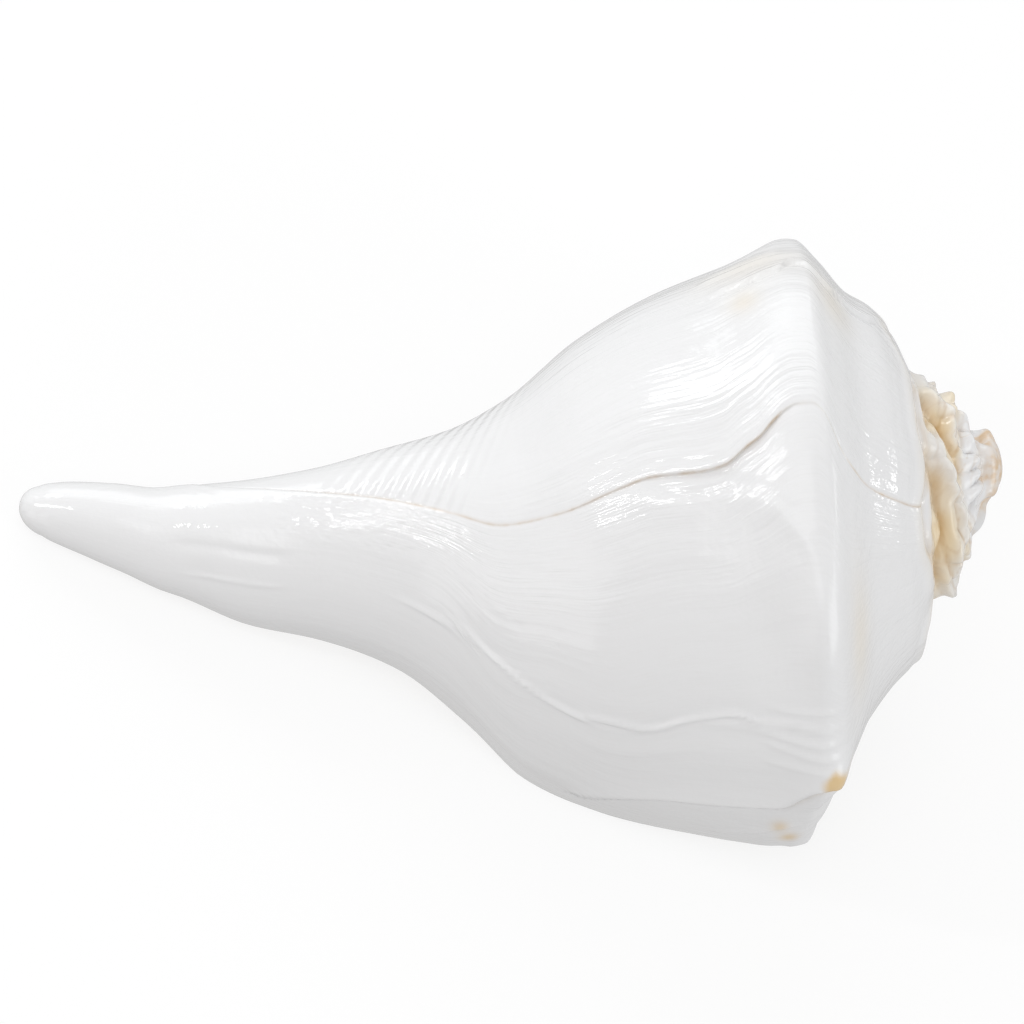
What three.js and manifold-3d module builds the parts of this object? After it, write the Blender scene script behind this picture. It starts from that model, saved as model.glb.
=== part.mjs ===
// A left-handed whelk ("conch") shell, 200 mm long, lying on its opening.
//
// The shell is drawn about its own coiling axis and then laid down. An axial station is a distance from
// the tip of the spire, in mm. A turn is an angle of growth in degrees: it runs from the oldest line of
// the last whorl, beside the opening, once round the back of the shell to the edge of the outer lip.

import * as THREE from 'three';
import { mergeVertices } from 'three/addons/utils/BufferGeometryUtils.js';
import Module from 'manifold-3d';

// ---- driving dimensions, in mm and degrees ----
const length = 200;
const firstTurn = -260; // oldest line of the last whorl, on the underside
const sideTurn = -90; // line on the side away from the lip
const lipTurn = 95; // line just before the edge of the lip
const lipEdge = 98; // edge of the outer lip
const whorlGrowth = 1.75; // how much one whorl is larger than the one before it

// Radii of the last whorl about the axis, along three of its growth lines.
// Each row: station, radius at firstTurn, at sideTurn, at lipTurn.
const profile = [
  [0, 0, 0, 0],
  [1, 5, 6.4, 4.8],
  [4, 8.8, 9.6, 8.8],
  [8, 15.6, 16, 15.6],
  [12, 20.8, 18.6, 20.8],
  [15, 25.2, 21.6, 25.2],
  [18, 31, 26.2, 33.2],
  [20, 32.8, 30, 36],
  [25, 35.5, 37, 41],
  [30, 37.4, 40.5, 48.8],
  [35, 38.4, 46.6, 60.4],
  [39, 38.4, 49.6, 69],
  [43, 37.6, 49.6, 71.6],
  [46, 36.8, 49.2, 71.6],
  [55, 32.5, 46.2, 70.4],
  [70, 25, 41, 67.2],
  [85, 17, 33.2, 62.6],
  [100, 11.5, 22.2, 55],
  [112, 9.2, 17, 42],
  [125, 8, 14.4, 30.3],
  [140, 6.8, 11.4, 23.3],
  [155, 5.6, 10, 18.9],
  [170, 4.4, 9.6, 11.8],
  [185, 3.2, 8, 7.8],
  [195, 2.2, 5.6, 4.8],
  [198.6, 1.4, 3.4, 2.8],
  [length, 0, 0, 0],
];

// Near the lip the shoulder drops away from the spire: how far, and over which turns and stations.
const shoulderDrop = 6;
const dropFrom = 57;
const dropStation = 46;
const dropReach = 14;

// How far the siphonal canal bends away from the lip side: station, offset.
const canalBend = [
  [0, 0],
  [150, 0],
  [170, 0.2],
  [180, 2.8],
  [190, 5.4],
  [length, 7.6],
];

// Knobs on the shoulder: turn and height. They are this long along the growth and across it.
const knobs = [
  [-222, 1.6],
  [-176, 2.0],
  [-132, 2.2],
  [-92, 2.4],
  [-48, 0.9],
  [-14, 0.9],
  [24, 1.6],
  [62, 2.0],
];
const knobStation = 41;
const knobTurnReach = 11;
const knobAxialReach = 6;

// The opening and the hollow behind it.
const wallThickness = 2.4; // body of the shell
const tipWallThickness = 1.4; // end of the canal
const hollowDepth = 340; // degrees that the hollow runs back from the lip
const hollowTop = 27; // station where the opening starts, below the suture
const hollowReach = [
  // turn, station where the hollow ends towards the canal
  [-250, 66],
  [-150, 92],
  [-60, 118],
  [0, 176],
  [40, 193],
  [110, 196],
];
const columellaRadius = 1.2;
const cornerShare = 0.3; // how much of each end of the hollow's cross-section is rounded

// How the shell lies, and how much of it is worn flat where it touches.
const lyingRoll = 20.75; // about its axis, lip side down
const lyingPitch = 14.9; // spire end up
const wornDepth = 0.6;

const outerColumns = 62;
const outerRows = 52;
const hollowColumns = 46;
const hollowLoop = 30;

const radians = Math.PI / 180;

// Smooth curve through points that never overshoots them (monotone cubic).
function smoothCurve(points) {
  const x = points.map((p) => p[0]);
  const y = points.map((p) => p[1]);
  const last = x.length - 1;
  const rise = x.slice(1).map((v, i) => (y[i + 1] - y[i]) / (v - x[i]));
  const slope = x.map((_, i) => {
    if (i === 0) return rise[0];
    if (i === last) return rise[last - 1];
    if (rise[i - 1] * rise[i] <= 0) return 0;
    const before = x[i] - x[i - 1];
    const after = x[i + 1] - x[i];
    const a = 2 * after + before;
    const b = after + 2 * before;
    return (a + b) / (a / rise[i - 1] + b / rise[i]);
  });
  return (at) => {
    let i = 0;
    while (i < last - 1 && at > x[i + 1]) i += 1;
    const step = x[i + 1] - x[i];
    const t = Math.min(Math.max((at - x[i]) / step, 0), 1);
    return hermite(t, y[i], y[i + 1], slope[i] * step, slope[i + 1] * step);
  };
}

function hermite(t, y0, y1, m0, m1) {
  const s = 1 - t;
  return y0 * (1 + 2 * t) * s * s + m0 * t * s * s + y1 * t * t * (3 - 2 * t) - m1 * t * t * s;
}

const firstRadius = smoothCurve(profile.map((row) => [row[0], row[1]]));
const sideRadius = smoothCurve(profile.map((row) => [row[0], row[2]]));
const lipRadius = smoothCurve(profile.map((row) => [row[0], row[3]]));
const bendAt = smoothCurve(canalBend);
const reachAt = smoothCurve(hollowReach);

function bump(offset, reach) {
  return Math.exp(-((offset / reach) ** 2));
}

function knobHeight(turn, station) {
  const across = bump(station - knobStation, knobAxialReach);
  return knobs.reduce((sum, [at, height]) => sum + height * bump(turn - at, knobTurnReach) * across, 0);
}

// The station on the profile that a station on the shell takes its radius from.
function profileStation(turn, station) {
  const share = THREE.MathUtils.smoothstep(turn, dropFrom, lipTurn);
  return station - shoulderDrop * share * bump(station - dropStation, dropReach);
}

// Radius of the outside of the shell. Growth is exponential, so the three lines are blended as logarithms.
function outerRadius(turn, station) {
  const tiny = 1e-3;
  const at = profileStation(turn, station);
  const first = Math.log(firstRadius(at) + tiny);
  const side = Math.log(sideRadius(at) + tiny);
  const lip = Math.log(lipRadius(at) + tiny);
  const before = sideTurn - firstTurn;
  const after = lipTurn - sideTurn;
  const riseBefore = (side - first) / before;
  const riseAfter = (lip - side) / after;
  const sameWay = riseBefore * riseAfter > 0;
  const mid = sameWay ? (2 * riseBefore * riseAfter) / (riseBefore + riseAfter) : 0;
  const blended =
    turn < sideTurn
      ? hermite((turn - firstTurn) / before, first, side, riseBefore * before, mid * before)
      : hermite((turn - sideTurn) / after, side, lip, mid * after, riseAfter * after);
  return Math.exp(blended) - tiny + knobHeight(turn, station);
}

// A point about the coiling axis: the spire points along +X, and turn 0 faces +Z.
function shellPoint(turn, station, radius) {
  const angle = turn * radians;
  return [-station, bendAt(station) - radius * Math.sin(angle), radius * Math.cos(angle)];
}

// A solid from a grid of points: columns of equal length, closed round each column and capped at both ends.
function solidFromLoops(wasm, loops) {
  const loopLength = loops[0].length;
  const positions = loops.flat(2);
  const faces = [];
  for (let i = 0; i < loops.length - 1; i += 1) {
    for (let j = 0; j < loopLength; j += 1) {
      const next = (j + 1) % loopLength;
      const [a, b] = [i * loopLength + j, i * loopLength + next];
      const [c, d] = [a + loopLength, b + loopLength];
      faces.push(a, b, d, a, d, c);
    }
  }
  for (const [column, flip] of [
    [0, false],
    [loops.length - 1, true],
  ]) {
    const start = column * loopLength;
    const half = loopLength / 2;
    for (let j = 0; j < half; j += 1) {
      const [a, b] = [start + j, start + j + 1];
      const [c, d] = [start + loopLength - 1 - j, start + ((loopLength - j) % loopLength)];
      if (j > 0) faces.push(...(flip ? [a, c, d] : [a, d, c]));
      if (j < half - 1) faces.push(...(flip ? [a, b, c] : [a, c, b]));
    }
  }
  return solidFromTriangles(wasm, positions, faces);
}

function solidFromTriangles(wasm, positions, faces) {
  const geometry = new THREE.BufferGeometry();
  geometry.setAttribute('position', new THREE.Float32BufferAttribute(positions, 3));
  geometry.setIndex(faces);
  const merged = mergeVertices(geometry, 1e-5);
  const mesh = new wasm.Mesh({
    numProp: 3,
    vertProperties: new Float32Array(merged.attributes.position.array),
    triVerts: new Uint32Array(merged.index.array),
  });
  return new wasm.Manifold(mesh);
}

// The outside: every growth line of the last whorl from the spire to the end of the canal. The step from the
// last line back to the first is the face that the opening is cut in.
function outerSolid(wasm) {
  const stations = [];
  for (let j = 1; j < outerRows; j += 1) {
    const t = j / outerRows;
    stations.push(length * (0.35 * t + 0.65 * t * t));
  }
  const rings = stations.map((station) => {
    const ring = [];
    for (let i = 0; i <= outerColumns; i += 1) {
      const turn = firstTurn + ((lipEdge - firstTurn) * i) / outerColumns;
      ring.push(shellPoint(turn, station, outerRadius(turn, station)));
    }
    return ring;
  });
  const ringLength = outerColumns + 1;
  const positions = rings.flat(2);
  const faces = [];
  for (let j = 0; j < rings.length - 1; j += 1) {
    for (let i = 0; i < ringLength; i += 1) {
      const next = (i + 1) % ringLength;
      const [a, b] = [j * ringLength + i, j * ringLength + next];
      const [c, d] = [a + ringLength, b + ringLength];
      faces.push(a, c, d, a, d, b);
    }
  }
  const apex = positions.length / 3;
  positions.push(...shellPoint(0, 0, 0));
  const tip = apex + 1;
  positions.push(...shellPoint(0, length, 0));
  const lastRing = (rings.length - 1) * ringLength;
  for (let i = 0; i < ringLength; i += 1) {
    const next = (i + 1) % ringLength;
    faces.push(apex, i, next);
    faces.push(tip, lastRing + next, lastRing + i);
  }
  return solidFromTriangles(wasm, positions, faces);
}

// Radius of what the hollow coils round: the whorl before, and below it the columella.
function innerRadius(turn, station) {
  if (turn > lipEdge) return outerRadius(firstTurn + turn - lipEdge, station) + 0.05;
  const size = whorlGrowth ** ((turn - lipEdge) / 360);
  return Math.max(size * firstRadius(station / size), columellaRadius * size);
}

// The hollow: cross-sections between the outer wall and the whorl before, from deep inside to past the lip.
function hollowSolid(wasm) {
  const loops = [];
  const past = 10;
  for (let i = 0; i <= hollowColumns; i += 1) {
    const turn = lipEdge - hollowDepth + ((hollowDepth + past) * i) / hollowColumns;
    const size = whorlGrowth ** (Math.min(turn - lipEdge, 0) / 360);
    const top = hollowTop * size;
    const end = reachAt(turn);
    const outside = [];
    const inside = [];
    for (let k = 0; k <= hollowLoop / 2; k += 1) {
      const share = k / (hollowLoop / 2);
      const station = top + (end - top) * (0.5 - 0.5 * Math.cos(Math.PI * share)) ** 0.9;
      const wall = THREE.MathUtils.lerp(wallThickness, tipWallThickness, station / length);
      const at = Math.min(turn, lipEdge);
      const outer = outerRadius(at, station) - knobHeight(at, station) * 0.5 - wall;
      const inner = innerRadius(turn, station);
      const middle = (outer + inner) / 2;
      const open = Math.max(outer - inner, 0.4) / 2;
      const fromEnd = Math.min(Math.sin(Math.PI * share) / cornerShare, 1);
      const round = Math.max(Math.sqrt(1 - (1 - fromEnd) ** 2), 0.02);
      outside.push(shellPoint(turn, station, middle + open * round));
      if (k > 0 && k < hollowLoop / 2) inside.push(shellPoint(turn, station, middle - open * round));
    }
    loops.push([...outside, ...inside.reverse()]);
  }
  return solidFromLoops(wasm, loops);
}

// Lays the shell down, wears its lowest points flat and moves it to the middle of the ground.
function layDown(solid) {
  const lying = solid.rotate([lyingRoll, 0, 0]).rotate([0, -lyingPitch, 0]);
  const ground = lying.boundingBox().min[2] + wornDepth;
  const worn = lying.trimByPlane([0, 0, 1], ground);
  const { min, max } = worn.boundingBox();
  return worn.translate([-(min[0] + max[0]) / 2, -(min[1] + max[1]) / 2, -ground]);
}

function meshFromSolid(solid, name, material) {
  const { vertProperties, triVerts } = solid.getMesh();
  const geometry = new THREE.BufferGeometry();
  geometry.setAttribute('position', new THREE.Float32BufferAttribute(vertProperties, 3));
  geometry.setIndex(new THREE.Uint32BufferAttribute(triVerts, 1));
  geometry.computeVertexNormals();
  const mesh = new THREE.Mesh(geometry, material);
  mesh.name = name;
  return mesh;
}

const wasm = await Module();
wasm.setup();

const shellMaterial = new THREE.MeshStandardMaterial({ color: 0xe9e7e6, roughness: 0.18, metalness: 0 });
const shell = layDown(outerSolid(wasm).subtract(hollowSolid(wasm)));

const whelk = new THREE.Group();
whelk.add(meshFromSolid(shell, 'shell', shellMaterial));

export default whelk;
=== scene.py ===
"""A left-handed whelk shell, lying on its opening on a pale floor.

The shell is drawn about its own coiling axis, in millimetres, and then laid down in the frame.
  station  distance from the tip of the spire along the axis
  turn     angle round the axis in degrees; the last whorl runs from -260, beside the opening, over the
           side away from the lip (-90) and the back (0) to the edge of the outer lip (98)
  growth   the turn at which a growth line crosses the shoulder; off the shoulder the line leans away
"""

import math

import bpy
import numpy as np
from mathutils import Matrix, Vector


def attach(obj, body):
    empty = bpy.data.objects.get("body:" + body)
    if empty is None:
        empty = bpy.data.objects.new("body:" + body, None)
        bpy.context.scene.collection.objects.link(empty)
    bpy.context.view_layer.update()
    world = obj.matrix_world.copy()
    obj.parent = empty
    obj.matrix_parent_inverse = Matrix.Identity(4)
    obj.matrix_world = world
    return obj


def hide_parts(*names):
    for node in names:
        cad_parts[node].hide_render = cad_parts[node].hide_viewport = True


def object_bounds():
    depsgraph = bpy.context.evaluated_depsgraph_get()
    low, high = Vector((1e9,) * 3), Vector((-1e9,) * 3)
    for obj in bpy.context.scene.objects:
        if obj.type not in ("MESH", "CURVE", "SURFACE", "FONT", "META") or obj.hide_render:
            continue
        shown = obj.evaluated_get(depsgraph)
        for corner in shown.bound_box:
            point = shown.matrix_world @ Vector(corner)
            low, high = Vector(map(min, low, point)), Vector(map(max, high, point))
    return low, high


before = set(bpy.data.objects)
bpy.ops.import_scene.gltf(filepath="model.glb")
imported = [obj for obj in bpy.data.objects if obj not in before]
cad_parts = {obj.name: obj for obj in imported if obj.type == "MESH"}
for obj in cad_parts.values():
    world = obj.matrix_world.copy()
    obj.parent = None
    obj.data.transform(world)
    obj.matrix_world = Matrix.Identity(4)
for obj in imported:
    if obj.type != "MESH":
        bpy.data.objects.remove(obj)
cad_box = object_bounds()

MM = 0.001

# ---- the shell's proportions, in mm and degrees ----
LENGTH = 200
FIRST_TURN, SIDE_TURN, LIP_TURN, LIP_EDGE = -260, -90, 95, 98
WHORL_GROWTH = 1.75

# Both ends are rounded off: the apex over TOP_CAP, the canal from CAP_FROM to CAP_END. The profile is read
# no further than PROFILE_END, so that its own narrowing isn't added to the rounding.
TOP_CAP = 2.6
CAP_FROM, CAP_END = 193.5, 199.3
PROFILE_END = 0.4 * CAP_FROM + 0.6 * CAP_END - 2

# Each row: station, radius at FIRST_TURN, at SIDE_TURN, at LIP_TURN.
PROFILE = [
    (0, 0, 0, 0),
    (1, 5, 6.4, 4.8),
    (4, 8.8, 9.6, 8.8),
    (8, 15.6, 16, 15.6),
    (12, 20.8, 18.6, 20.8),
    (15, 25.2, 21.6, 25.2),
    (18, 31, 26.2, 33.2),
    (20, 32.8, 30, 36),
    (25, 35.5, 37, 41),
    (30, 37.4, 40.5, 48.8),
    (35, 38.4, 46.6, 60.4),
    (39, 38.4, 49.6, 69),
    (43, 37.6, 49.6, 71.6),
    (46, 36.8, 49.2, 71.6),
    (55, 32.5, 46.2, 70.4),
    (70, 25, 41, 67.2),
    (85, 17, 33.2, 62.6),
    (100, 11.5, 22.2, 55),
    (112, 9.2, 17, 42),
    (125, 8, 14.4, 30.3),
    (140, 6.8, 11.4, 23.3),
    (155, 5.6, 10, 18.9),
    (170, 4.4, 9.6, 11.8),
    (185, 3.2, 8, 7.8),
    (195, 2.2, 5.6, 4.8),
    (198.6, 1.4, 3.4, 2.8),
    (LENGTH, 0, 0, 0),
]

# How far the axis bends sideways at the apex and at the end of the canal, as (station, mm).
CANAL_BEND = [
    (0, 2.4), (3, 2.2), (5.5, 1.3), (9, 0), (150, 0), (170, 0.2), (180, 2.8), (190, 5.4), (LENGTH, 7.6),
]
SHOULDER_DROP, DROP_FROM, DROP_STATION, DROP_REACH = 6, 57, 46, 14
# Each knob: turn, height.
KNOBS = [
    (-222, 1.6), (-176, 2.0), (-132, 2.2), (-92, 2.4),
    (-48, 0.9), (-14, 0.9), (24, 1.6), (62, 2.0),
]
KNOB_STATION, KNOB_TURN_REACH, KNOB_AXIAL_REACH = 41, 11, 6
WALL, TIP_WALL = 2.4, 1.4

# The hollow behind the opening: degrees that it runs back from the lip, and the stations of its ends.
HOLLOW_DEPTH, HOLLOW_TOP, HOLLOW_END = 322, 27, 196
HOLLOW_REACH = [(-250, 66), (-150, 92), (-60, 118), (0, 176), (40, 193), (110, HOLLOW_END)]
COLUMELLA = 1.2
# What the chart says for growth on the hollow's walls, past any growth of the outer surface.
HOLLOW_CHART = 400

# How it lies, and where the tip of the spire then is.
LYING_ROLL, LYING_PITCH = 20.75, 14.9
APEX = Vector((96.84, 9.70, 51.19))

# ---- growth lines: how far a line leans from its growth, as (station, degrees) ----
BREAK_GROWTH, RIDGE_GROWTH = -18, 46
BREAK_LEAN = [
    (0, 0), (13, 0), (19, 26), (25, 22), (31, 17), (33, 14), (36, 9), (38.8, 2), (41, 0), (44, 0),
    (46.5, 1), (49, 3), (52, 6), (55, 8), (59, 11), (64.5, 12), (73, 12), (80, 14), (91.5, 19),
    (103.5, 22), (113, 16), (123, 7), (137, -8), (148, -22), (160, -42), (166, -66), (200, -70),
]
RIDGE_LEAN = [
    (0, 0), (13, 0), (18.5, 2), (23, 0), (30, -2), (35.5, 4), (38, 2), (42, -2), (66, 0), (86, 8),
    (94, 7), (105.5, 10), (116.5, -6), (124, -10), (140, -14), (200, -14),
]


def smooth_curve(points):
    """A monotone cubic through the points, for whole arrays."""
    x, y = np.array(points, float).T
    step = np.diff(x)
    rise = np.diff(y) / step
    slope = np.empty_like(y)
    slope[0], slope[-1] = rise[0], rise[-1]
    before, after = step[:-1], step[1:]
    same_way = rise[:-1] * rise[1:] > 0
    a, b = 2 * after + before, after + 2 * before
    with np.errstate(divide="ignore", invalid="ignore"):
        mean = (a + b) / (a / rise[:-1] + b / rise[1:])
    slope[1:-1] = np.where(same_way, mean, 0)

    def at(value):
        i = np.clip(np.searchsorted(x, value, side="right") - 1, 0, len(x) - 2)
        t = np.clip((value - x[i]) / step[i], 0, 1)
        return hermite(t, y[i], y[i + 1], slope[i] * step[i], slope[i + 1] * step[i])

    return at


def hermite(t, y0, y1, m0, m1):
    s = 1 - t
    return y0 * (1 + 2 * t) * s * s + m0 * t * s * s + y1 * t * t * (3 - 2 * t) - m1 * t * t * s


def straight(points):
    """Straight lines through the points, for whole arrays."""
    x, y = np.array(points, float).T
    return lambda value: np.interp(value, x, y)


def smoothstep(value, low, high):
    t = np.clip((value - low) / (high - low), 0, 1)
    return t * t * (3 - 2 * t)


def bump(offset, reach):
    return np.exp(-((offset / reach) ** 2))


first_radius = smooth_curve([(row[0], row[1]) for row in PROFILE])
side_radius = smooth_curve([(row[0], row[2]) for row in PROFILE])
lip_radius = smooth_curve([(row[0], row[3]) for row in PROFILE])
bend_at = smooth_curve(CANAL_BEND)
reach_at = smooth_curve(HOLLOW_REACH)
break_lean = smooth_curve(BREAK_LEAN)
ridge_lean = smooth_curve(RIDGE_LEAN)


def knob_height(turn, station):
    across = bump(station - KNOB_STATION, KNOB_AXIAL_REACH)
    return across * sum(height * bump(turn - at, KNOB_TURN_REACH) for at, height in KNOBS)


def outer_radius(turn, station):
    """The whorl before its growth marks. Growth is exponential, so the lines blend as logarithms."""
    drop = SHOULDER_DROP * smoothstep(turn, DROP_FROM, LIP_TURN)
    at = station - drop * bump(station - DROP_STATION, DROP_REACH)
    over = np.maximum((TOP_CAP - station) / TOP_CAP, (station - CAP_FROM) / (CAP_END - CAP_FROM))
    rounding = np.sqrt(1 - np.clip(over, 0, 1) ** 2)
    at = np.clip(at, 1, PROFILE_END)
    tiny = 1e-3
    first, side, lip = (np.log(curve(at) + tiny) for curve in (first_radius, side_radius, lip_radius))
    before, after = SIDE_TURN - FIRST_TURN, LIP_TURN - SIDE_TURN
    rise_before, rise_after = (side - first) / before, (lip - side) / after
    total = np.where(np.abs(rise_before + rise_after) > 1e-9, rise_before + rise_after, 1)
    mid = np.where(rise_before * rise_after > 0, 2 * rise_before * rise_after / total, 0)
    old = hermite((turn - FIRST_TURN) / before, first, side, rise_before * before, mid * before)
    new = hermite((turn - SIDE_TURN) / after, side, lip, mid * after, rise_after * after)
    radius = np.exp(np.where(turn < SIDE_TURN, old, new)) - tiny
    return radius * rounding + knob_height(turn, station)


def turn_of(growth, station):
    """Where a growth line lies at a station: its lean is blended between the break, the ridge and the lip."""
    from_side = np.clip((growth - SIDE_TURN) / (BREAK_GROWTH - SIDE_TURN), 0, 1)
    to_ridge = np.clip((growth - BREAK_GROWTH) / (RIDGE_GROWTH - BREAK_GROWTH), 0, 1)
    to_lip = np.clip((growth - RIDGE_GROWTH) / (LIP_EDGE - RIDGE_GROWTH), 0, 1)
    lean = break_lean(station) * from_side * (1 - to_ridge) + ridge_lean(station) * to_ridge * (1 - to_lip)
    return growth + lean


def axis_point(turn, station, radius):
    """A point about the coiling axis: the spire points along +X and turn 0 faces +Z."""
    angle = np.radians(turn)
    x = -station + 0 * radius
    y = bend_at(station) - radius * np.sin(angle)
    return np.stack(np.broadcast_arrays(x, y, radius * np.cos(angle)), axis=-1)


LYING = (
    Matrix.Rotation(math.radians(-LYING_PITCH), 3, "Y") @ Matrix.Rotation(math.radians(LYING_ROLL), 3, "X")
)


def lay_down(points):
    """From the coiling axis to the frame, in metres."""
    return (points @ np.array(LYING).T + np.array(APEX)) * MM


# ---- growth marks: heights in mm that are added to the whorl's radius ----
def noise(seed, u, v):
    """Smooth seeded noise between -1 and 1 over arrays of u and v."""
    table = np.random.default_rng(seed).uniform(-1, 1, (64, 64))
    i, j = np.floor(u).astype(int), np.floor(v).astype(int)
    s, t = u - i, v - j
    s, t = s * s * (3 - 2 * s), t * t * (3 - 2 * t)
    low = table[i % 64, j % 64] * (1 - s) + table[(i + 1) % 64, j % 64] * s
    high = table[i % 64, (j + 1) % 64] * (1 - s) + table[(i + 1) % 64, (j + 1) % 64] * s
    return low * (1 - t) + high * t


def span(value, low, high, fade):
    """One between low and high, fading to nothing over the last part at each end."""
    return smoothstep(value, low, low + fade) * (1 - smoothstep(value, high - fade, high))


def side_of(turn, station, radius, line):
    """Distance in mm round the whorl from a line given as (station, turn); the newer side is positive."""
    return np.radians(turn - smooth_curve(line)(station)) * radius


def fold(turn, station, radius, line, height, older, newer, fade=4):
    """A ridge, or with a negative height a furrow, along a line given as (station, turn)."""
    offset = side_of(turn, station, radius, line)
    reach = np.where(offset > 0, newer, older)
    return height * bump(offset, reach) * span(station, line[0][0], line[-1][0], fade)


def ledge(turn, station, radius, line, height, older, fade=4, edge=0.45):
    """An older edge that stands over newer shell, with a crevice at its foot."""
    offset = side_of(turn, station, radius, line)
    rise = np.exp(np.minimum(offset, 0) / older) * (1 - smoothstep(offset, -edge, edge))
    foot = -0.35 * bump(offset - 1.2 * edge, 1.2 * edge)
    return height * (rise + foot) * span(station, line[0][0], line[-1][0], fade)


def swelling(turn, station, at_turn, at_station, height, turn_reach, station_reach):
    return height * bump(turn - at_turn, turn_reach) * bump(station - at_station, station_reach)


BREAK_RIM = [
    (17, 0.15), (24, 0.15), (32, 0.15), (38, 0.1), (43, 0.15), (46, 0.4), (50, 0.9), (57, 1.1), (63, 1.0),
    (70, 0.7), (78, 0.3), (92, 0.15), (108, 0.1), (116, -0.15), (125, -0.4), (140, -0.7), (150, -0.75),
    (162, -0.55), (175, -0.3), (188, 0),
]
TOP_LEDGE = [
    (21, -73), (24, -66), (27, -60), (31, -61), (34.5, -57.5), (38.5, -60.5), (41, -62), (44, -58.5),
    (47, -57), (53, -56), (60, -55),
]
RIDGE_LINE = [
    (36, 48), (44, 47), (50, 46), (55, 46), (60, 44.5), (66, 46), (71, 48), (74, 50), (79, 52), (87, 52.5),
    (90, 54), (98, 53), (103, 51), (108, 48), (115, 45), (120, 42), (128, 38),
]
LIP_RIM = [
    (36, 60), (38.5, 62), (41, 60.5), (44, 61.5), (47.5, 65), (51, 68.5), (60, 70.5), (74, 73), (84, 79),
    (94, 90),
]
SLACK_FOLD = [(41, 12), (44, 9), (51, 2), (57, 0), (66, 1), (73, 0), (80, -2)]

# How strongly the main break is tinted tan, as (station, share): partly a stain, partly painted shade in its
# crevice.
BREAK_STAIN_AND_SHADE = [
    (17, 0.6), (30, 0.6), (37, 0.15), (45, 0.1), (49, 0.6), (62, 0.6), (72, 0.4), (95, 0.35), (115, 0.5),
    (135, 0.3), (150, 0.2),
]


def main_break(growth, station, radius):
    """The main growth break: the older edge stands over the newer whorl, except along the canal."""
    offset = np.radians(growth - BREAK_GROWTH) * radius
    rim = straight(BREAK_RIM)(station) * smoothstep(station, 16, 19)
    older = np.maximum(rim, 0) * np.exp(np.minimum(offset, 0) / 6) * (1 - smoothstep(offset, -0.1, 0.5))
    crevice = -0.25 * np.minimum(np.abs(rim) + 0.08, 0.7) * bump(offset - 0.4, 0.5)
    newer = np.maximum(-rim, 0) * np.exp(-np.maximum(offset, 0) / 4) * smoothstep(offset, -0.1, 0.5)
    return older + newer + crevice * smoothstep(station, 16, 19)


def growth_marks(growth, turn, station, radius):
    """Growth marks of the last whorl."""
    total = main_break(growth, station, radius)
    size = np.minimum(radius / 50, 1) ** 1.5
    total = total + 0.3 * size * (noise(3, growth / 11 + 20, station / 34 + 5) - 0.5)
    total = total + 0.1 * size * (noise(4, growth / 3.4 + 31, station / 26) - 1)
    here = (turn, station, radius)
    total = total + ledge(*here, TOP_LEDGE, 1.0, 4, 4, 0.35)
    total = total + fold(*here, [(36, -68), (44, -67), (52, -66), (62, -64)], 0.5, 1.6, 0.8)
    total = total + fold(*here, [(42, -72), (50, -71), (60, -69)], 0.4, 1.2, 0.8)
    total = total + fold(*here, [(43, -52), (50, -51.5), (60, -50)], -0.25, 0.8, 0.8)
    # the slack folds under the main break
    total = total + fold(*here, SLACK_FOLD, 0.55, 2.2, 3.5)
    total = total + fold(*here, [(43, 2), (46, 1), (52, -2), (58, -3.5), (70, -3)], 0.25, 0.7, 1.4)
    # the ridge of a later pause in growth and its wrinkles by the shoulder
    total = total + ledge(*here, RIDGE_LINE, -0.35, 3, 10, 0.3)
    total = total + fold(*here, RIDGE_LINE, 0.5, 0.6, 0.9, 10)
    total = total + fold(*here, [(37, 51), (44, 50.5), (52, 49), (60, 47), (68, 48)], 0.35, 0.6, 0.9)
    total = total + fold(*here, [(37, 54), (44, 53.5), (50, 52), (56, 50)], 0.3, 0.6, 0.9)
    total = total + fold(*here, [(37, 57), (43, 56.5), (50, 56), (56, 55)], 0.25, 0.6, 0.9)
    total = total + fold(*here, [(37, 45), (42, 43.5), (48, 43.5), (56, 42)], 0.25, 0.6, 0.9)
    # the shoulder's long low knob and the hollow beside it
    total = total + swelling(turn, station, 30, 41, 0.9, 14, 3.2)
    total = total + swelling(turn, station, 30, 50, -1.3, 13, 5.5)
    total = total + swelling(turn, station, 4, 60, -0.5, 12, 10)
    # the corner of the lip: a rolled rim and a deeper, newer surface past it
    total = total + swelling(turn, station, 58.6, 38.6, 1.9, 3.6, 2.4)
    total = total + swelling(turn, station, 71, 39, -3.0, 5, 3.8)
    total = total + swelling(turn, station, 95, 43.5, 3.2, 8, 3.5)
    total = total + ledge(*here, LIP_RIM, 1.3, 4, 5, 0.9)
    total = total + fold(*here, [(46, 75), (52, 78), (58, 82), (66, 86)], 0.4, 0.9, 1.2)
    # the canal's scar
    total = total + swelling(turn, station, 38, 163, -0.4, 12, 2)
    total = total + fold(*here, [(146, 43), (152, 42), (160, 40), (168, 41)], 0.3, 0.5, 0.8)
    total = total + fold(*here, [(144, 22), (152, 19), (160, 13), (170, 8)], -0.3, 1.0, 1.5)
    return total


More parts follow.
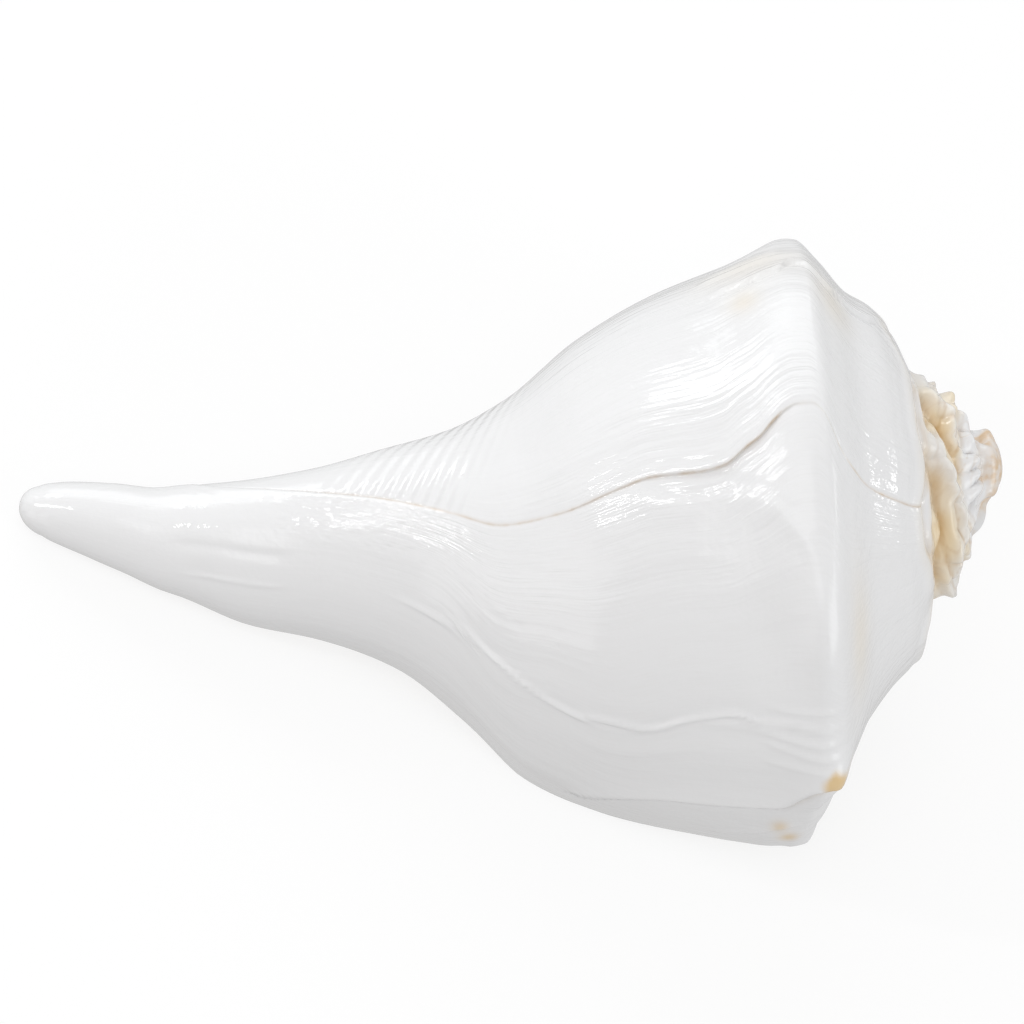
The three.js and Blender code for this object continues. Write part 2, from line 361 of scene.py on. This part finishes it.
# The spire, as lines of (turn, station). The sutures wind outwards: where a line ends under the lip, the
# next one towards the canal begins.
SUTURE = [
    (-262, 12.8), (-220, 14), (-170, 16), (-120, 19.5), (-90, 22), (-68, 22.3), (-60, 20.4), (-50, 18.4),
    (-30, 18.2), (-13, 17.4), (0, 17.4), (9, 18.8), (22, 18.6), (40, 16.4), (58, 15.6), (66, 17.4),
    (87, 18.5), (98, 19),
]
INNER_RIM = [
    (-58, 17.6), (-47, 16.8), (-28, 16.8), (-14, 16.1), (0, 15.9), (12, 16), (22, 16.6), (35, 16.2), (56, 15),
]
MIDDLE_CORD = [
    (-34, 15.6), (-24, 14.8), (-12, 13.8), (1, 11.5), (14, 9.8), (28, 9.5), (44, 11), (58, 11.8), (98, 12.8),
]
OLD_CORD = [
    (-262, 8.4), (-200, 9.6), (-150, 11), (-110, 13), (-85, 15), (-72, 14.5), (-56, 12.5), (-46, 10.6),
    (-30, 9.8), (-18, 9),
]
NODE_CORD = [
    (-262, 5), (-200, 5.6), (-140, 6.8), (-100, 8.6), (-75, 9.5), (-66, 8.8), (-50, 6.9), (-27, 6), (-8, 5.6),
    (5, 5.3), (23, 6), (34, 7.6), (54, 8.4), (76, 8.2), (98, 8.4),
]
UPPER_CREVICE = [(-62, 15.2), (-48, 14), (-32, 12.2), (-15, 10), (-2, 8.4)]
LOWER_CREVICE = [
    (-20, 16), (-8, 15.3), (3, 14.2), (14, 13.8), (27, 13.2), (42, 14.3), (54, 14.6), (72, 15.8), (98, 16.4),
]
OLD_CREVICE = [(-262, 10.4), (-200, 11.8), (-150, 13.2), (-110, 16), (-85, 18.2), (-70, 17.5)]

# What is taken off the spire all round, as (station, mm).
SPIRE_TRIM = [
    (0, 0), (1.5, 0.3), (3.5, 1.5), (6, 1.8), (8.5, 1.7), (10.5, 0.7), (13, 0.4), (15.5, 1.5), (18, 0.8),
    (22, 0),
]


def creases(turn, station):
    """Thin crevices that wander along the spire's sutures, as shares."""
    thin = 1 - np.abs(noise(17, turn / 34 + 30, station / 2.6 + 0.01 * turn)) / 0.12
    thinner = 1 - np.abs(noise(18, turn / 15 + 50, station / 1.8 - 0.02 * turn)) / 0.10
    where = smoothstep(station, 2.5, 8) * (1 - smoothstep(station, 15.5, 18))
    return np.clip(thin, 0, 1) * where, np.clip(thinner, 0, 1) * where


def winding_folds(turn, station):
    """Folds that wind down the middle of the spire, between -1 and 1, and the share of them at a station."""
    winding = np.sin(2.6 * station + 0.075 * turn + 2.5 * noise(21, turn / 25 + 30, station / 4))
    return winding, smoothstep(station, 6.5, 9) * (1 - smoothstep(station, 14, 17))


def ring(turn, station, line, height, width, fade=8):
    """A ridge round the spire, or with a negative height a crevice, along a line given as (turn, station)."""
    offset = station - smooth_curve(line)(turn)
    return height * bump(offset, width) * span(turn, line[0][0], line[-1][0] + 0.01, fade)


def whole_ring(turn, station, line, height, width):
    return height * bump(station - smooth_curve(line)(turn), width)


def spire_marks(turn, station):
    """Rims, cords, beads and crevices of the spire."""
    angle = np.radians(turn)
    wave = 0.35 * np.sin(angle * 11) + 0.25 * np.sin(angle * 17 + 1)
    wavy = station - 0.7 * wave
    total = whole_ring(turn, wavy - 0.9, SUTURE, 0.9, 1.2) + whole_ring(turn, wavy + 0.6, SUTURE, -0.7, 0.6)
    total = total + ring(turn, station - 0.5 * wave, INNER_RIM, 0.9, 0.9)
    beads = 0.55 + 0.5 * np.abs(np.sin(angle * 8.5 + 1.6 * np.sin(angle * 3))) ** 0.7
    total = total + beads * ring(turn, station - 0.5 * wave, MIDDLE_CORD, 1.7, 1.5, 10)
    total = total + beads * ring(turn, station - 0.3 * wave, OLD_CORD, 1.5, 1.4, 6)
    nodes = np.abs(np.cos(angle * 9 + 0.8 * np.sin(angle * 2) + 0.4 * np.sin(angle * 5))) ** 0.7
    total = total + nodes * whole_ring(turn, station - 0.3 * wave, NODE_CORD, 1.5, 1.5)
    total = total + whole_ring(turn, station, NODE_CORD, 0.5, 1.7)
    # each crevice is a wide furrow with a narrow one in it
    spot = (turn, station)
    total = total + ring(*spot, UPPER_CREVICE, -1.0, 1.0) + ring(*spot, UPPER_CREVICE, -0.7, 0.4)
    total = total + ring(*spot, LOWER_CREVICE, -1.0, 1.1) + ring(*spot, LOWER_CREVICE, -0.8, 0.4)
    total = total + ring(*spot, OLD_CREVICE, -0.8, 1.0) + ring(*spot, OLD_CREVICE, -0.6, 0.4)
    winding, wound = winding_folds(turn, station)
    total = total + 0.28 * winding * wound
    lumps = 0.4 * noise(8, turn / 12 + 40, station / 2.2) * smoothstep(station, 2, 5)
    total = total + lumps * (1 - smoothstep(station, 15, 18))
    total = total + 0.8 * np.cos(angle * 5 + 0.8 * station) * bump(station - 3.2, 1.5)
    thin, thinner = creases(turn, station)
    total = total - 0.35 * thin - smooth_curve(SPIRE_TRIM)(station)
    return total * smoothstep(station, 0.3, 2.5) * (1 - smoothstep(station, 20, 25))


def marks(growth, turn, station, radius):
    """All marks of the outer surface."""
    body = smoothstep(station, 17, 21) * (1 - smoothstep(station, 185, 198))
    return body * growth_marks(growth, turn, station, radius) + spire_marks(turn, station)


def tints(growth, turn, station, radius):
    """Tints, as shares: tan in crevices and along the main break, partly stain and partly painted shade;
    amber on worn knobs and round the spire's crevices, there partly painted shade; a warm cast; and the peach
    tip.
    """
    offset = np.radians(growth - BREAK_GROWTH) * radius
    speck = 0.5 + 0.5 * noise(11, np.full_like(growth, 3), station / 1.3)
    # tan along the main break's crevice: partly stain, partly painted shade
    line = bump(offset - 0.2, 0.35) * smoothstep(station, 17, 20) * (1 - smoothstep(station, 140, 160))
    tan = line * straight(BREAK_STAIN_AND_SHADE)(station) * (0.45 + 0.9 * speck)
    # crevices and fold valleys of the spire: the tan there is partly stain, partly painted shade
    patch = 0.5 + 0.5 * noise(14, turn / 13 + 30, station / 3)
    spot = (turn, station)
    deep = 0.8 * ring(*spot, UPPER_CREVICE, 1, 0.45) + 0.15 * ring(*spot, UPPER_CREVICE, 1, 1.3)
    deep = deep + 0.8 * ring(*spot, LOWER_CREVICE, 1, 0.4) + 0.1 * ring(*spot, LOWER_CREVICE, 1, 1.3)
    deep = deep + 0.7 * ring(*spot, OLD_CREVICE, 1, 0.45) + whole_ring(turn, station + 0.9, SUTURE, 0.3, 0.4)
    winding, wound = winding_folds(turn, station)
    deep = deep + 0.45 * smoothstep(-winding, 0.75, 1) * wound
    deep = deep + 0.3 * whole_ring(turn, station + 1.9, NODE_CORD, 1, 0.8)
    thin, thinner = creases(turn, station)
    tan = np.clip(tan + deep * (0.35 + 0.75 * patch) + 0.55 * thin * patch + 0.4 * thinner * patch, 0, 1)
    ragged = 0.16 * noise(16, turn / 2.2 + 20, station / 1.4)
    amber = smoothstep(swelling(*spot, 59.5, 40, 1.0, 3.6, 3.2) + ragged, 0.3, 0.75)
    # amber round the spire's crevices and the inner rim: partly stain, partly painted shade
    crevices = ring(*spot, UPPER_CREVICE, 1, 1.5) + ring(*spot, LOWER_CREVICE, 1, 1.5)
    crevices = crevices + ring(*spot, OLD_CREVICE, 1, 1.4) + ring(*spot, INNER_RIM, 0.5, 0.8)
    amber = amber + np.clip(crevices, 0, 1) * (0.12 + 0.42 * patch)
    rim = bump(side_of(turn, station, radius, LIP_RIM) - 0.6, 0.7) * span(station, 40, 52, 3)
    amber = amber + 0.8 * rim
    amber = amber + swelling(*spot, 77, 51, 0.6, 2.5, 1.6) + swelling(*spot, 83, 49, 0.9, 2.5, 1.8)
    between = smoothstep(station, 7.5, 9.5) * (1 - smoothstep(station, 14.5, 17))
    warm = 0.2 * swelling(*spot, -66, 50, 1, 9, 10) + 0.3 * swelling(*spot, -52, 34, 1, 8, 3)
    warm = warm + 0.3 * swelling(*spot, 34, 34, 1, 14, 2) + 0.3 * swelling(*spot, -49, 52, 1, 4, 3)
    cords = ring(turn, station, MIDDLE_CORD, 1, 1.6) + ring(turn, station, OLD_CORD, 1, 1.4)
    warm = warm + between * (0.45 + 0.6 * patch) * (1 - 0.75 * np.clip(cords, 0, 1))
    warm = warm + 0.16 * bump(station - smooth_curve(SUTURE)(turn) - 0.6, 1.1)
    apex = 1 - smoothstep(station + 1.6 * noise(15, turn / 12, np.zeros_like(station)), 2.6, 5.2)
    return np.clip(np.stack([tan, amber, warm], axis=-1), 0, 1), apex


# ---- the mesh ----
def spaced(stops):
    """Values from the first stop to the last; each stop is (value, spacing up to the next one)."""
    values = []
    for (low, gap), (high, _) in zip(stops, stops[1:]):
        values += list(np.linspace(low, high, max(2, round((high - low) / gap) + 1))[:-1])
    return np.array(values + [stops[-1][0]])


def growth_columns():
    """Growth lines, close together at the break and at the later ridge."""
    near_break = BREAK_GROWTH + np.array([-0.9, -0.6, -0.3, -0.12, -0.02, 0.05, 0.18, 0.35, 0.6, 0.9])
    near_ridge = RIDGE_GROWTH + np.array([-0.8, -0.4, 0, 0.4, 0.8])
    plain = spaced([(FIRST_TURN, 2.2), (-95, 0.9), (50, 0.55), (92, 1.1), (LIP_EDGE, 0)])
    keep = (np.abs(plain - BREAK_GROWTH) > 1.2) & (np.abs(plain - RIDGE_GROWTH) > 1.1)
    return np.sort(np.concatenate([plain[keep], near_break, near_ridge]))


def station_rows():
    """Stations, close together on the spire and the shoulder and at the rounded end of the canal."""
    spire_and_shoulder = [(0.05, 0.15), (0.5, 0.25), (23, 0.5), (38, 0.6)]
    canal = [(56, 1.3), (110, 2.0), (192, 0.8), (198, 0.25), (199, 0.08), (CAP_END - 0.02, 0)]
    return spaced(spire_and_shoulder + canal)


def strips(lines):
    """Quads between neighbouring lists of point numbers."""
    lines = np.array(lines)
    corners = (lines[:-1, :-1], lines[:-1, 1:], lines[1:, 1:], lines[1:, :-1])
    return np.stack(corners, axis=-1).reshape(-1, 4).tolist()


def hollow_walls(rows, lip_inside):
    """The hollow, one loop for each depth past the lip: its outer walls and its inner walls, as points."""
    share = (rows - rows[0]) / (rows[-1] - rows[0])
    outer_walls, inner_walls = [], []
    for depth in spaced([(0, 1.5), (30, 6), (120, 12), (HOLLOW_DEPTH, 0)]):
        turn = LIP_EDGE - depth
        size = WHORL_GROWTH ** (-depth / 360)
        top, end = rows[0] * size, min(float(reach_at(turn)), rows[-1])
        station = top + (end - top) * share
        wall = WALL + (TIP_WALL - WALL) * station / LENGTH
        thin = 0.7 + 0.3 * smoothstep(depth, 0, 14)
        plain = outer_radius(turn, station)
        dents = np.minimum(marks(turn, turn, station, plain), 0)
        outer = plain - 0.5 * knob_height(turn, station) + dents - wall * thin
        inner = np.maximum(size * first_radius(station / size), COLUMELLA * size)
        if depth == 0:
            inner = lip_inside
        middle, half = (outer + inner) / 2, np.maximum(outer - inner, 0.3) / 2
        from_end = np.clip(np.sin(np.pi * share) / 0.16, 0, 1)
        rounding = np.maximum(np.sqrt(1 - (1 - from_end) ** 2), 0.02)
        for walls, side in ((outer_walls, 1), (inner_walls, -1)):
            chart = [np.full_like(station, HOLLOW_CHART + depth), station, np.full_like(station, turn)]
            place = axis_point(turn, station, middle + side * half * rounding)
            walls.append((place, np.stack(chart, axis=1)))
    return outer_walls, inner_walls


def build_shell():
    growths, rows = growth_columns(), station_rows()
    growth, station = np.meshgrid(growths, rows, indexing="ij")
    turn = turn_of(growth, station)
    plain = outer_radius(turn, station)
    radius = plain + marks(growth, turn, station, plain)
    stain_and_shade, peach = tints(growth, turn, station, plain)
    number = np.arange(growth.size).reshape(growth.shape)
    faces = strips(number)
    lift = 0.8 * (radius - plain) * (1 - smoothstep(station, 15, 24))
    points = [axis_point(turn, station - lift, radius).reshape(-1, 3)]
    charts = [np.stack([growth, station, turn], axis=-1).reshape(-1, 3)]
    stains_and_shades = [stain_and_shade.reshape(-1, 3)]
    peaches = [peach.ravel()]
    count = growth.size

    inside = (rows >= HOLLOW_TOP) & (rows <= HOLLOW_END)
    outer_walls, inner_walls = hollow_walls(rows[inside], radius[0, inside])
    numbered = []
    for walls in (outer_walls, inner_walls):
        numbers = []
        for wall_points, chart in walls:
            points.append(wall_points)
            charts.append(chart)
            stains_and_shades.append(np.zeros((len(wall_points), 3)))
            peaches.append(np.zeros(len(wall_points)))
            numbers.append(np.arange(count, count + len(wall_points)))
            count += len(wall_points)
        numbered.append(numbers)
    outer, inner = numbered
    lip, first = number[-1], number[0]
    low, high = np.nonzero(inside)[0][[0, -1]]

    # the rim of the lip, the hollow, and the wall beside the opening
    faces += strips([lip[inside]] + outer)
    faces += strips([outer[-1], inner[-1]])
    faces += strips(inner[::-1] + [first[inside]])
    # both ends of the hollow, and the strips above and below the opening
    for k in (0, -1):
        for left in range(len(outer) - 1):
            corners = [outer[left][k], outer[left + 1][k], inner[left + 1][k], inner[left][k]]
            faces.append(corners[::-1] if k == 0 else corners)
    faces += strips([lip[: low + 1], first[: low + 1]])
    faces += strips([lip[high:], first[high:]])
    faces.append([lip[low], outer[0][0], inner[0][0], first[low]][::-1])
    faces.append([lip[high], outer[0][-1], inner[0][-1], first[high]])

    # the two poles
    points.append(axis_point(np.zeros(2), np.array([0.0, CAP_END]), np.zeros(2)))
    charts.append(np.array([[0, 0, 0], [0, LENGTH, 0]], float))
    stains_and_shades.append(np.zeros((2, 3)))
    peaches.append(np.array([1.0, 0.0]))
    for i in range(len(growths)):
        j = (i + 1) % len(growths)
        faces.append([count, int(number[j, 0]), int(number[i, 0])])
        faces.append([count + 1, int(number[i, -1]), int(number[j, -1])])

    laid = lay_down(np.concatenate(points))
    low_corner, high_corner = np.array(cad_box)
    laid = np.clip(laid, low_corner, high_corner)
    mesh = bpy.data.meshes.new("Conch")
    mesh.from_pydata(laid.tolist(), [], [[int(i) for i in face] for face in faces])
    mesh.validate()
    for name, values in (("chart", charts), ("stain_and_shade", stains_and_shades)):
        attribute = mesh.attributes.new(name, "FLOAT_VECTOR", "POINT")
        attribute.data.foreach_set("vector", np.concatenate(values).astype(np.float32).ravel())
    attribute = mesh.attributes.new("peach", "FLOAT", "POINT")
    attribute.data.foreach_set("value", np.concatenate(peaches).astype(np.float32))
    mesh.shade_smooth()
    shell = bpy.data.objects.new("Conch", mesh)
    bpy.context.collection.objects.link(shell)
    bpy.context.view_layer.objects.active = shell
    shell.select_set(True)
    bpy.ops.object.mode_set(mode="EDIT")
    bpy.ops.mesh.select_all(action="SELECT")
    bpy.ops.mesh.normals_make_consistent(inside=False)
    bpy.ops.object.mode_set(mode="OBJECT")
    shell.select_set(False)
    return shell


# ---- materials ----
class Term:
    """A shader output that can be written in sums."""

    def __init__(self, nodes, socket):
        self.nodes, self.socket = nodes, socket

    def __add__(self, other):
        return self.nodes.maths("ADD", self, other)

    def __radd__(self, other):
        return self.nodes.maths("ADD", other, self)

    def __sub__(self, other):
        return self.nodes.maths("SUBTRACT", self, other)

    def __rsub__(self, other):
        return self.nodes.maths("SUBTRACT", other, self)

    def __mul__(self, other):
        return self.nodes.maths("MULTIPLY", self, other)

    def __rmul__(self, other):
        return self.nodes.maths("MULTIPLY", other, self)


class Nodes:
    """Adds nodes to one material."""

    def __init__(self, name):
        self.material = bpy.data.materials.new(name)
        self.material.use_nodes = True
        self.tree = self.material.node_tree
        self.shader = self.tree.nodes["Principled BSDF"]

    def add(self, kind, settings, inputs, output=0):
        """One node: its settings first, then its inputs, by name or number."""
        node = self.tree.nodes.new(kind)
        for name, value in settings.items():
            setattr(node, name, value)
        for name, value in inputs.items():
            self.give(node.inputs[name], value)
        return Term(self, node.outputs[output])

    def give(self, socket, value):
        if isinstance(value, Term):
            self.tree.links.new(value.socket, socket)
        else:
            socket.default_value = value

    def maths(self, operation, a, b=0.0):
        return self.add("ShaderNodeMath", {"operation": operation}, {0: a, 1: b})

    def attribute(self, name, output="Vector"):
        return self.add("ShaderNodeAttribute", {"attribute_name": name}, {}, output)

    def parts(self, vector):
        return [self.add("ShaderNodeSeparateXYZ", {}, {0: vector}, i) for i in range(3)]

    def vector(self, x, y, z=0.0):
        return self.add("ShaderNodeCombineXYZ", {}, {0: x, 1: y, 2: z})

    def noise(self, vector, scale=1.0, detail=2.0, roughness=0.5):
        inputs = {"Vector": vector, "Scale": scale, "Detail": detail, "Roughness": roughness}
        return self.add("ShaderNodeTexNoise", {}, inputs, "Fac")

    def ramp(self, value, low, high, to_low=0.0, to_high=1.0):
        inputs = {"Value": value, "From Min": low, "From Max": high, "To Min": to_low, "To Max": to_high}
        return self.add("ShaderNodeMapRange", {"interpolation_type": "SMOOTHSTEP"}, inputs)

    def mix(self, factor, a, b):
        colours = {0: factor, 6: a, 7: b}
        return self.add("ShaderNodeMix", {"data_type": "RGBA", "clamp_factor": True}, colours, 2)


def colour(red, green, blue):
    return (red, green, blue, 1)


def shell_material():
    nodes = Nodes("Conch")
    growth, station, turn = nodes.parts(nodes.attribute("chart"))
    tan, amber, warm = nodes.parts(nodes.attribute("stain_and_shade"))
    peach = nodes.attribute("peach", "Fac")
    place = nodes.add("ShaderNodeTexCoord", {}, {}, "Object")
    inside = nodes.ramp(growth, 150, 350)
    outside = 1 - inside

    # fine relief, in mm
    on_body = nodes.ramp(station, 17, 24)
    waves = nodes.noise(nodes.vector(growth * 0.30, station * 0.05), 1, 1, 0.5)
    streaks = nodes.noise(nodes.vector(growth * 0.85, station * 0.07), 1, 1, 0.5)
    fine_streaks = nodes.noise(nodes.vector(growth * 2.2, station * 0.16), 1, 1, 0.5)
    polish = nodes.noise(place, 330, 2, 0.5)
    pits = nodes.noise(place, 1100, 1, 0.5)
    towards_tip = nodes.ramp(station, 100, 150)
    strength = (1 - towards_tip * 0.8) * on_body * outside
    older = (1 - nodes.ramp(growth, -19, -17)) * (1 - nodes.ramp(station, 85, 105))
    slack = nodes.ramp(growth, -18, -14) * (1 - nodes.ramp(growth, 6, 22))
    ramp_side = 1 - nodes.ramp(station, 30, 42)
    lively = older + slack * 0.6
    relief = waves * (0.10 + older * 0.08) + streaks * (0.04 + lively * 0.14)
    relief = (relief + fine_streaks * (0.008 + lively * 0.035)) * strength
    relief = relief + polish * (0.08 + ramp_side * 0.12 * on_body)
    relief = relief + pits * (0.014 + (ramp_side * on_body + towards_tip * 0.4) * 0.03)
    # small ripples along the canal, on the newer side of the break
    ripples = nodes.noise(nodes.vector(growth * 0.16, station * 0.34), 1, 1, 0.5)
    rippled = nodes.ramp(station, 88, 108) * (1 - nodes.ramp(station, 138, 160))
    rippled = rippled * nodes.ramp(growth, -18, -14) * (1 - nodes.ramp(growth, 18, 34))
    relief = relief + ripples * rippled * 0.22
    # spiral cords on the older side of the break, above the canal
    cord_station = station - turn * 0.2
    widening = 0.034
    cord_phase = nodes.maths("LOGARITHM", cord_station * widening - 1.2, math.e) * (math.tau / widening)
    cords = nodes.maths("SINE", cord_phase)
    corded = nodes.ramp(cord_station, 105, 117) * (1 - nodes.ramp(cord_station, 130, 150))
    corded = corded * (1 - nodes.ramp(growth, -20, -17) * 0.7) * nodes.ramp(growth, -105, -75)
    corded = corded * (1 - nodes.ramp(growth, 0, 25))
    relief = relief + cords * corded * 0.10
    # faint spiral threads on the whorl
    threads = nodes.maths("SINE", station * 3.3 + nodes.noise(nodes.vector(turn * 0.05, station * 0.1)) * 6)
    relief = relief + threads * 0.0015 * on_body * (1 - towards_tip)
    bump_node = {"Strength": 1.0, "Distance": MM, "Height": relief}
    nodes.give(nodes.shader.inputs["Normal"], nodes.add("ShaderNodeBump", {}, bump_node))

    # colour, and a shoulder worn less glossy
    worn = nodes.ramp(station, 33, 41) * (1 - nodes.ramp(station, 42, 60)) * outside
    white = colour(0.870, 0.869, 0.876)
    cool = colour(0.80, 0.79, 0.775)
    cream = colour(0.85, 0.715, 0.49)
    brown = colour(0.56, 0.36, 0.16)
    honey = colour(0.80, 0.59, 0.32)
    rosy = colour(0.74, 0.55, 0.36)
    base = nodes.mix(nodes.ramp(fine_streaks, 0.4, 0.8, 0, 0.12) * outside, white, cool)
    base = nodes.mix(warm, base, cream)
    mottled = nodes.noise(place, 500, 2)
    # the tan and part of the amber are stain with painted shade in crevices and along the break
    base = nodes.mix(tan * nodes.ramp(mottled, 0.25, 0.75, 0.6, 1.0), base, brown)
    base = nodes.mix(amber, base, honey)
    base = nodes.mix(peach * nodes.ramp(mottled, 0.3, 0.7, 0.35, 1.0), base, rosy)
    deeper = nodes.ramp(growth, HOLLOW_CHART, HOLLOW_CHART + 100)
    inner = nodes.mix(deeper, colour(0.87, 0.84, 0.78), colour(0.80, 0.62, 0.45))
    base = nodes.mix(inside, base, inner)
    nodes.give(nodes.shader.inputs["Base Color"], base)
    roughness = nodes.ramp(mottled, 0.3, 0.7, 0.06, 0.11) + inside * 0.15 + worn * 0.16
    nodes.give(nodes.shader.inputs["Roughness"], roughness)
    nodes.shader.inputs["Specular IOR Level"].default_value = 0.65
    return nodes.material


# ---- the scene ----
# How far the view is turned from the coiling axis, in degrees, and its width and distance in metres.
VIEW_RISE, VIEW_TILT = 4.0, 2.0
VIEW_WIDTH = 0.20767
CAMERA_DISTANCE = 2.2
SENSOR_WIDTH = 36
# The middle of the view, in mm to the right of the apex and above it.
MIDDLE_RIGHT, MIDDLE_UP = -99.57, -6.9
SKY = (0.955, 0.985, 1.0)


def view_axes():
    """Right, up and back of the camera, turned with the shell."""
    rise, tilt = math.radians(VIEW_RISE), math.radians(VIEW_TILT)
    right = Vector((math.cos(rise) * math.cos(tilt), -math.sin(rise), math.cos(rise) * math.sin(tilt)))
    up = Vector((math.sin(rise) * math.cos(tilt), math.cos(rise), math.sin(rise) * math.sin(tilt)))
    back = Vector((-math.sin(tilt), 0, math.cos(tilt)))
    return right, up, back


RIGHT, UP, BACK = view_axes()
CENTRE = (APEX + LYING @ (MIDDLE_RIGHT * RIGHT + MIDDLE_UP * UP)) * MM


def in_view(right, up, back):
    """A place given from the middle of the view, in metres."""
    return CENTRE + LYING @ (right * RIGHT + up * UP + back * BACK)


def add_camera():
    camera = bpy.data.objects.new("Camera", bpy.data.cameras.new("Camera"))
    bpy.context.collection.objects.link(camera)
    turned = Matrix((LYING @ RIGHT, LYING @ UP, LYING @ BACK)).transposed()
    camera.matrix_world = Matrix.Translation(in_view(0, 0, CAMERA_DISTANCE)) @ turned.to_4x4()
    camera.data.sensor_width = SENSOR_WIDTH
    camera.data.lens = SENSOR_WIDTH * CAMERA_DISTANCE / VIEW_WIDTH
    camera.data.clip_end = 20
    bpy.context.scene.camera = camera


def area_light(name, place, aim, size, radiance, tone=(1, 1, 1)):
    """A softbox of the given brightness, whatever its size; its width lies along the view."""
    data = bpy.data.lights.new(name, "AREA")
    data.shape = "RECTANGLE"
    data.size, data.size_y = size
    data.energy = radiance * math.pi * size[0] * size[1]
    data.color = tone
    light = bpy.data.objects.new(name, data)
    outwards = (Vector(place) - Vector(aim)).normalized()
    across = LYING @ RIGHT
    across = (across - across.dot(outwards) * outwards).normalized()
    turned = Matrix((across, outwards.cross(across), outwards)).transposed()
    light.matrix_world = Matrix.Translation(place) @ turned.to_4x4()
    bpy.context.collection.objects.link(light)


def add_backdrop():
    """A pale floor that sweeps up into a wall far off. It is hidden from diffuse and glossy rays."""
    floor_reach, sweep, wall_top, around = 3, 1.5, 6.0, 64
    profile = [(floor_reach, 0.0)]
    for angle in np.linspace(0.1, math.pi / 2, 12):
        profile.append((floor_reach + sweep * math.sin(angle), sweep - sweep * math.cos(angle)))
    profile.append((floor_reach + sweep, wall_top))
    corners = []
    for reach, height in profile:
        for i in range(around):
            angle = math.tau * i / around
            corners.append((reach * math.cos(angle), reach * math.sin(angle), height))
    faces = [list(range(around))]
    for level in range(len(profile) - 1):
        for i in range(around):
            j = (i + 1) % around
            low, high = level * around, (level + 1) * around
            faces.append([low + i, high + i, high + j, low + j])
    mesh = bpy.data.meshes.new("Backdrop")
    mesh.from_pydata(corners, [], faces)
    mesh.shade_smooth()
    mesh.polygons[0].use_smooth = False
    backdrop = bpy.data.objects.new("Backdrop", mesh)
    bpy.context.collection.objects.link(backdrop)
    nodes = Nodes("Backdrop")
    nodes.shader.inputs["Base Color"].default_value = colour(0.2, 0.2, 0.2)
    nodes.shader.inputs["Roughness"].default_value = 1
    nodes.shader.inputs["Specular IOR Level"].default_value = 0
    place = nodes.parts(nodes.add("ShaderNodeTexCoord", {}, {}, "Object"))
    glow = nodes.mix(nodes.ramp(place[2], 0, 0.8), colour(0.8, 0.8, 0.8), colour(0.9, 0.9, 0.9))
    nodes.give(nodes.shader.inputs["Emission Color"], glow)
    nodes.shader.inputs["Emission Strength"].default_value = 1
    mesh.materials.append(nodes.material)
    backdrop.visible_diffuse = False
    backdrop.visible_glossy = False


def add_lights():
    """Soft light from above, in front and both sides; Window, Lamp and Spark make the bright reflections."""
    middle = in_view(0, 0, 0)
    area_light("Window", in_view(-0.45, 0.87, 0.27), middle, (0.24, 0.20), 6.5, SKY)
    area_light("Sky", in_view(-0.9, 0.8, 0.3), middle, (0.9, 0.8), 0.3, SKY)
    area_light("Top", in_view(0.05, 1.2, 0.1), middle, (1.0, 0.8), 1.4, SKY)
    area_light("Front", in_view(0.0, 0.1, 1.3), middle, (0.9, 0.9), 0.95)
    area_light("Lamp", in_view(-0.64, 0.36, 0.72), middle, (0.55, 0.035), 22)
    area_light("Spark", in_view(0.98, 0.12, -0.15), middle, (0.10, 0.08), 7)
    area_light("Right", in_view(1.2, -0.45, 0.4), middle, (0.8, 0.9), 1.75, SKY)
    area_light("Left", in_view(-1.2, -0.4, 0.5), middle, (0.8, 0.9), 0.6)
    world = bpy.data.worlds.new("World")
    bpy.context.scene.world = world
    world.use_nodes = True
    background = world.node_tree.nodes["Background"]
    background.inputs["Color"].default_value = colour(1.0, 0.993, 0.987)
    background.inputs["Strength"].default_value = 0.6


shell = build_shell()
shell.data.materials.append(shell_material())
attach(shell, "root")
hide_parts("shell")
add_backdrop()
add_camera()
add_lights()
bpy.context.scene.view_settings.view_transform = "Standard"
